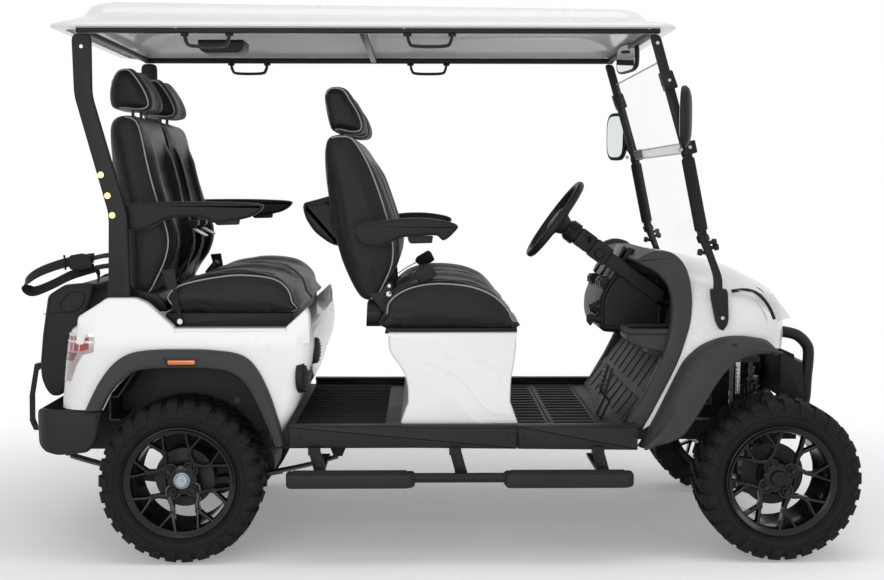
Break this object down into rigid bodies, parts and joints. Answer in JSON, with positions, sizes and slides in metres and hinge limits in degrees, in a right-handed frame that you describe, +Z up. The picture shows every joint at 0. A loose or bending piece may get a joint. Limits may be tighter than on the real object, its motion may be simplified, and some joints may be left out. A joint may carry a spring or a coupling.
{
  "type": "four-seat golf cart",
  "caption": "Lifted open four-seat electric golf cart with moulded body, canopy, folding windscreen, bucket seats, side steps and off-road wheels.",
  "frame": {"origin": "centre of the footprint box on the ground", "axes": "+X forward, +Y to the left of the cart, +Z up"},
  "size_m": [3.0299, 1.404, 1.9694],
  "materials": {
    "white_body": "gloss moulded white",
    "dark_plastic": "grained charcoal",
    "black_plastic": "grained black",
    "black_steel": "black powder coat",
    "mat": "ribbed black mat",
    "vinyl": "black grained vinyl",
    "tyre": "black",
    "gloss_black": "gloss black",
    "steel": "bare",
    "cast": "cast",
    "webbing": "woven black strap",
    "clear": "clear acrylic",
    "lamp_lens": "clear lens",
    "tail_lens": "red and clear lens",
    "battery_case": "plain",
    "rubber_grip": "grained grip"
  },
  "bodies": {
    "cart": {"frame": "black_steel", "floor": "mat", "sills": "dark_plastic", "rear_body": "white_body", "rear_liners": "black_plastic", "flares": "dark_plastic", "rear_bumper": "black_plastic", "rear_box": "black_plastic", "tail_lamps": "tail_lens", "bag_strap": "webbing", "seat_box": "white_body", "battery": "battery_case", "front_cowl": "white_body", "headlamps": "lamp_lens", "dash": "dark_plastic", "dash_console": "black_plastic", "pedals": "black_steel", "steering_column": "black_steel", "front_bumper": "black_steel", "side_steps": "black_steel", "roof_shell": "white_body", "roof_frame": "black_steel", "struts": "black_steel", "windshield": "clear", "mirrors": "black_plastic", "roof_handles": "black_plastic", "cushions": "vinyl", "seat_backs": "vinyl", "headrests": "vinyl", "seat_frames": "black_steel", "rear_axle": "cast", "motor": "cast", "springs": "black_steel", "front_arms": "black_steel", "steering_gear": "cast", "shocks": "black_steel", "seat_pockets": "vinyl", "display": "black_plastic", "rear_guard": "black_steel"},
    "wheel_front_left": {"tyre_front_left": "tyre", "rim_front_left": "gloss_black"},
    "wheel_front_right": {"tyre_front_right": "tyre", "rim_front_right": "gloss_black"},
    "wheel_rear_left": {"tyre_rear_left": "tyre", "rim_rear_left": "gloss_black"},
    "wheel_rear_right": {"tyre_rear_right": "tyre", "rim_rear_right": "gloss_black"},
    "knuckle_left": {"knuckle_left": "cast"},
    "knuckle_right": {"knuckle_right": "cast"},
    "tie_rods": {"tie_rods": "steel"},
    "steering_wheel": {"steering_wheel": "rubber_grip"},
    "armrest_front_left": {"armrest_front_left": "vinyl"},
    "armrest_front_right": {"armrest_front_right": "vinyl"},
    "armrest_rear_left": {"armrest_rear_left": "vinyl"},
    "armrest_rear_right": {"armrest_rear_right": "vinyl"}
  },
  "joints": [
    {"name": "steer_left", "type": "hinge", "parent": "cart", "child": "knuckle_left", "pos_m": [1.22725, 0.445, 0.2875], "axis": [0, 0, 1], "range_deg": [-28, 28]},
    {"name": "steer_right", "type": "hinge", "parent": "cart", "child": "knuckle_right", "pos_m": [1.22725, -0.445, 0.2875], "axis": [0, 0, 1], "range_deg": [-28, 28]},
    {"name": "rack_slide", "type": "slide", "parent": "cart", "child": "tie_rods", "axis": [0, 1, 0], "range_m": [-0.05, 0.05]},
    {"name": "steering_turn", "type": "hinge", "parent": "cart", "child": "steering_wheel", "pos_m": [0.45774, -0.28, 1.19889], "axis": [-0.809, 0, 0.5878], "range_deg": [-394, 394]},
    {"name": "spin_front_left", "type": "hinge", "parent": "knuckle_left", "child": "wheel_front_left", "pos_m": [1.22725, 0.525, 0.2875], "axis": [0, 1, 0], "continuous": true},
    {"name": "spin_front_right", "type": "hinge", "parent": "knuckle_right", "child": "wheel_front_right", "pos_m": [1.22725, -0.525, 0.2875], "axis": [0, 1, 0], "continuous": true},
    {"name": "spin_rear_left", "type": "hinge", "parent": "cart", "child": "wheel_rear_left", "pos_m": [-0.88275, 0.525, 0.2875], "axis": [0, 1, 0], "continuous": true},
    {"name": "spin_rear_right", "type": "hinge", "parent": "cart", "child": "wheel_rear_right", "pos_m": [-0.88275, -0.525, 0.2875], "axis": [0, 1, 0], "continuous": true},
    {"name": "arm_front_left", "type": "hinge", "parent": "cart", "child": "armrest_front_left", "pos_m": [-0.23275, 0.51, 1.15], "axis": [0, -1, 0], "range_deg": [0, 80]},
    {"name": "arm_front_right", "type": "hinge", "parent": "cart", "child": "armrest_front_right", "pos_m": [-0.23275, -0.51, 1.15], "axis": [0, -1, 0], "range_deg": [0, 80]},
    {"name": "arm_rear_left", "type": "hinge", "parent": "cart", "child": "armrest_rear_left", "pos_m": [-1.03275, 0.51, 1.222], "axis": [0, -1, 0], "range_deg": [0, 80]},
    {"name": "arm_rear_right", "type": "hinge", "parent": "cart", "child": "armrest_rear_right", "pos_m": [-1.03275, -0.51, 1.222], "axis": [0, -1, 0], "range_deg": [0, 80]}
  ],
  "couplings": [
    {"joint": "steer_right", "follows": "steer_left", "ratio": 1},
    {"joint": "rack_slide", "follows": "steer_left", "m_per_rad": -0.1},
    {"joint": "steering_turn", "follows": "steer_left", "ratio": 14}
  ]
}
